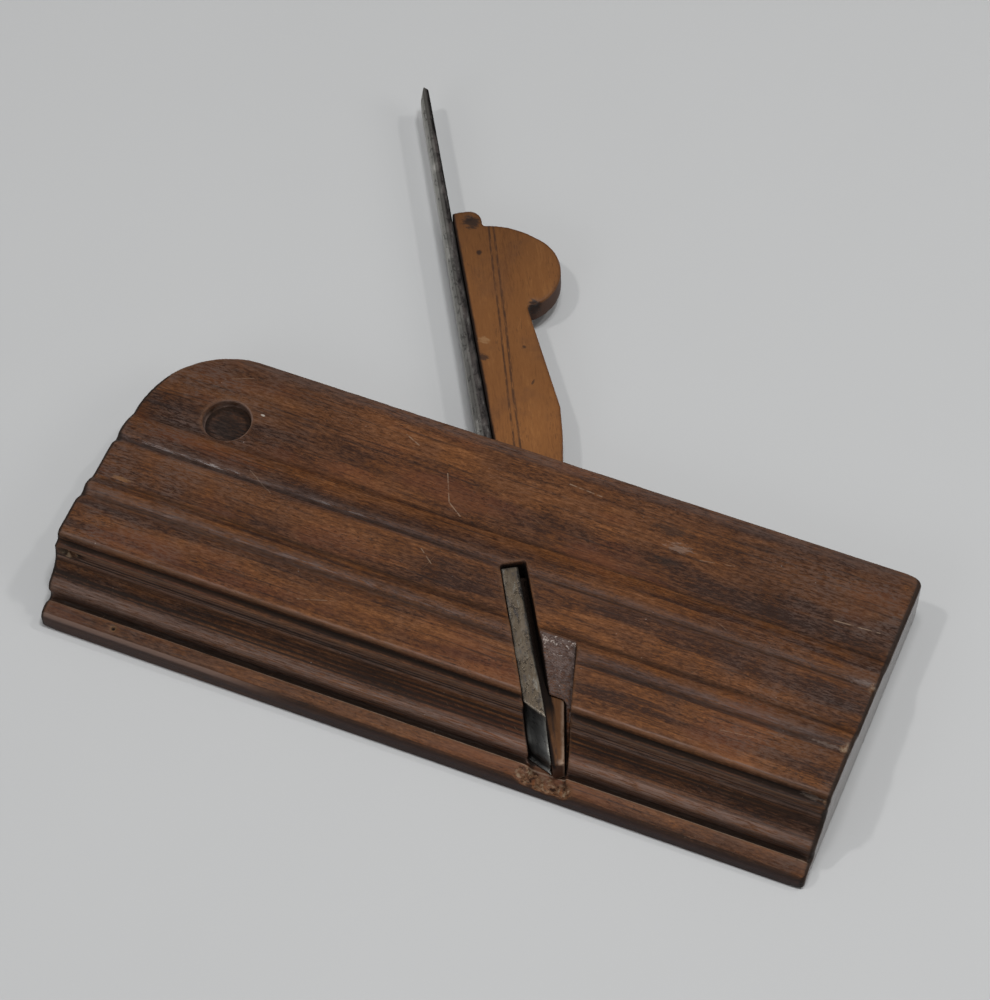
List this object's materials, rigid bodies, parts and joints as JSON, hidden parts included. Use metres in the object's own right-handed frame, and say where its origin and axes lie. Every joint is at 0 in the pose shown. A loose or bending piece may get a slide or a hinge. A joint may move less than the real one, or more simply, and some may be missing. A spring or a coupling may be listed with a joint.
{
  "type": "wooden moulding plane",
  "caption": "Wooden moulding plane: a stepped stock with a profiled sole, fence and side escapement, a profiled iron on a long tang, and a notched wedge that locks it.",
  "frame": {"origin": "centre of the flat cheek that the plane lies on", "axes": "+X from heel to toe, +Y from sole to top, +Z from the flat cheek up to the moulded cheek"},
  "size_m": [0.2414, 0.2227, 0.027],
  "materials": {
    "stock_wood": "dark, oiled and handled, glossy in the hollows",
    "iron_steel": "forged, dark and pitted, bright at the cutting edge",
    "wedge_wood": "lighter wood, worn smooth"
  },
  "bodies": {
    "stock": {"stock": "stock_wood"},
    "iron": {"iron": "iron_steel"},
    "wedge": {"wedge": "wedge_wood"}
  },
  "joints": [
    {"name": "wedge_slide", "type": "slide", "parent": "stock", "child": "wedge", "axis": [-0.5151, 0.8572, 0], "range_m": [0, 0.1]},
    {"name": "iron_slide", "type": "slide", "parent": "stock", "child": "iron", "axis": [-0.506, 0.8625, 0], "range_m": [-0.15, 0.0007]}
  ]
}
